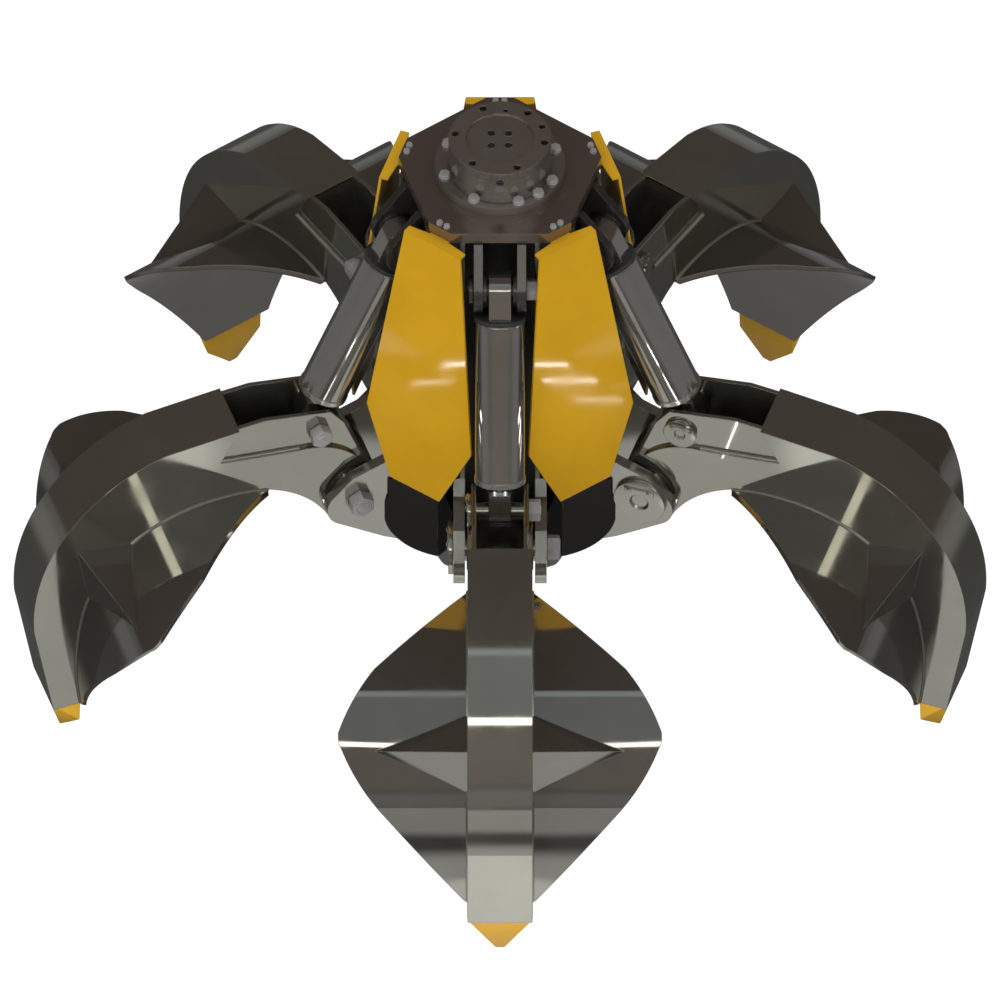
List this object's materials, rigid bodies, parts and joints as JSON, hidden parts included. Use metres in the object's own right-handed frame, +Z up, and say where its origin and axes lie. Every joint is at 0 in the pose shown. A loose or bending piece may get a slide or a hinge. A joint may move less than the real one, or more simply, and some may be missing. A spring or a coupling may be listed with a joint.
{
  "type": "orange peel grapple",
  "caption": "Hydraulic orange peel grapple with ridged shell tines on box arms, each swung by its own cylinder, hung from a turning rotator flange under folded guards.",
  "frame": {"origin": "centre of the rotator's top flange face", "axes": "+Z up along the rotator's axis; tine 1 points along -Y; +X to the right seen from tine 1's side"},
  "size_m": [2.335, 2.2541, 1.634],
  "materials": {
    "anthracite_paint": "semi-gloss",
    "safety_yellow": "semi-gloss",
    "rotator_grey": "satin",
    "barrel_grey": "semi-gloss",
    "rod_chrome": "polished",
    "machined_steel": "machined"
  },
  "bodies": {
    "rotator_stator": {"rotator_flange": "rotator_grey", "rotator_drum": "rotator_grey"},
    "frame": {"rotator_housing": "rotator_grey", "rotator_bolts": "machined_steel", "head_plate": "anthracite_paint", "cover_bolts": "machined_steel", "clevis_plates": "anthracite_paint", "side_plates": "anthracite_paint", "core_column": "anthracite_paint", "lower_housing": "anthracite_paint", "pivot_pins": "machined_steel", "pivot_nuts": "machined_steel", "top_pins": "machined_steel", "top_nuts": "machined_steel", "cover_1": "safety_yellow", "cover_2": "safety_yellow", "cover_3": "safety_yellow", "cover_4": "safety_yellow", "cover_5": "safety_yellow"},
    "tine_1": {"tine_arm_1": "anthracite_paint", "tine_blade_1": "anthracite_paint", "tine_tip_1": "safety_yellow", "rod_pin_1": "machined_steel"},
    "barrel_1": {"cylinder_barrel_1": "barrel_grey", "cylinder_gland_1": "machined_steel"},
    "rod_1": {"cylinder_rod_1": "rod_chrome", "cylinder_piston_1": "machined_steel"},
    "tine_2": {"tine_arm_2": "anthracite_paint", "tine_blade_2": "anthracite_paint", "tine_tip_2": "safety_yellow", "rod_pin_2": "machined_steel"},
    "barrel_2": {"cylinder_barrel_2": "barrel_grey", "cylinder_gland_2": "machined_steel"},
    "rod_2": {"cylinder_rod_2": "rod_chrome", "cylinder_piston_2": "machined_steel"},
    "tine_3": {"tine_arm_3": "anthracite_paint", "tine_blade_3": "anthracite_paint", "tine_tip_3": "safety_yellow", "rod_pin_3": "machined_steel"},
    "barrel_3": {"cylinder_barrel_3": "barrel_grey", "cylinder_gland_3": "machined_steel"},
    "rod_3": {"cylinder_rod_3": "rod_chrome", "cylinder_piston_3": "machined_steel"},
    "tine_4": {"tine_arm_4": "anthracite_paint", "tine_blade_4": "anthracite_paint", "tine_tip_4": "safety_yellow", "rod_pin_4": "machined_steel"},
    "barrel_4": {"cylinder_barrel_4": "barrel_grey", "cylinder_gland_4": "machined_steel"},
    "rod_4": {"cylinder_rod_4": "rod_chrome", "cylinder_piston_4": "machined_steel"},
    "tine_5": {"tine_arm_5": "anthracite_paint", "tine_blade_5": "anthracite_paint", "tine_tip_5": "safety_yellow", "rod_pin_5": "machined_steel"},
    "barrel_5": {"cylinder_barrel_5": "barrel_grey", "cylinder_gland_5": "machined_steel"},
    "rod_5": {"cylinder_rod_5": "rod_chrome", "cylinder_piston_5": "machined_steel"}
  },
  "joints": [
    {"name": "rotator_turn", "type": "hinge", "parent": "rotator_stator", "child": "frame", "pos_m": [0, 0, -0.08], "axis": [0, 0, 1], "continuous": true},
    {"name": "tine_swing_1", "type": "hinge", "parent": "frame", "child": "tine_1", "pos_m": [0, -0.391, -0.998], "axis": [1, 0, 0], "range_deg": [0, 68]},
    {"name": "barrel_swing_1", "type": "hinge", "parent": "frame", "child": "barrel_1", "pos_m": [0, -0.252, -0.262], "axis": [-1, 0, 0], "range_deg": [0, 3.23]},
    {"name": "rod_slide_1", "type": "slide", "parent": "barrel_1", "child": "rod_1", "axis": [0, -0.3967, -0.918], "range_m": [0, 0.2544]},
    {"name": "tine_swing_2", "type": "hinge", "parent": "frame", "child": "tine_2", "pos_m": [0.37186, -0.12083, -0.998], "axis": [0.309, 0.9511, 0], "range_deg": [0, 68]},
    {"name": "barrel_swing_2", "type": "hinge", "parent": "frame", "child": "barrel_2", "pos_m": [0.23967, -0.07787, -0.262], "axis": [-0.309, -0.9511, 0], "range_deg": [0, 3.23]},
    {"name": "rod_slide_2", "type": "slide", "parent": "barrel_2", "child": "rod_2", "axis": [0.3773, -0.1226, -0.918], "range_m": [0, 0.2544]},
    {"name": "tine_swing_3", "type": "hinge", "parent": "frame", "child": "tine_3", "pos_m": [0.22982, 0.31633, -0.998], "axis": [-0.809, 0.5878, 0], "range_deg": [0, 68]},
    {"name": "barrel_swing_3", "type": "hinge", "parent": "frame", "child": "barrel_3", "pos_m": [0.14812, 0.20387, -0.262], "axis": [0.809, -0.5878, 0], "range_deg": [0, 3.23]},
    {"name": "rod_slide_3", "type": "slide", "parent": "barrel_3", "child": "rod_3", "axis": [0.2332, 0.3209, -0.918], "range_m": [0, 0.2544]},
    {"name": "tine_swing_4", "type": "hinge", "parent": "frame", "child": "tine_4", "pos_m": [-0.22982, 0.31633, -0.998], "axis": [-0.809, -0.5878, 0], "range_deg": [0, 68]},
    {"name": "barrel_swing_4", "type": "hinge", "parent": "frame", "child": "barrel_4", "pos_m": [-0.14812, 0.20387, -0.262], "axis": [0.809, 0.5878, 0], "range_deg": [0, 3.23]},
    {"name": "rod_slide_4", "type": "slide", "parent": "barrel_4", "child": "rod_4", "axis": [-0.2332, 0.3209, -0.918], "range_m": [0, 0.2544]},
    {"name": "tine_swing_5", "type": "hinge", "parent": "frame", "child": "tine_5", "pos_m": [-0.37186, -0.12083, -0.998], "axis": [0.309, -0.9511, 0], "range_deg": [0, 68]},
    {"name": "barrel_swing_5", "type": "hinge", "parent": "frame", "child": "barrel_5", "pos_m": [-0.23967, -0.07787, -0.262], "axis": [-0.309, 0.9511, 0], "range_deg": [0, 3.23]},
    {"name": "rod_slide_5", "type": "slide", "parent": "barrel_5", "child": "rod_5", "axis": [-0.3773, -0.1226, -0.918], "range_m": [0, 0.2544]}
  ],
  "couplings": [
    {"joint": "barrel_swing_1", "follows": "tine_swing_1", "ratio": 0.047571},
    {"joint": "rod_slide_1", "follows": "tine_swing_1", "m_per_rad": 0.21435},
    {"joint": "barrel_swing_2", "follows": "tine_swing_2", "ratio": 0.047571},
    {"joint": "rod_slide_2", "follows": "tine_swing_2", "m_per_rad": 0.21435},
    {"joint": "barrel_swing_3", "follows": "tine_swing_3", "ratio": 0.047571},
    {"joint": "rod_slide_3", "follows": "tine_swing_3", "m_per_rad": 0.21435},
    {"joint": "barrel_swing_4", "follows": "tine_swing_4", "ratio": 0.047571},
    {"joint": "rod_slide_4", "follows": "tine_swing_4", "m_per_rad": 0.21435},
    {"joint": "barrel_swing_5", "follows": "tine_swing_5", "ratio": 0.047571},
    {"joint": "rod_slide_5", "follows": "tine_swing_5", "m_per_rad": 0.21435}
  ]
}
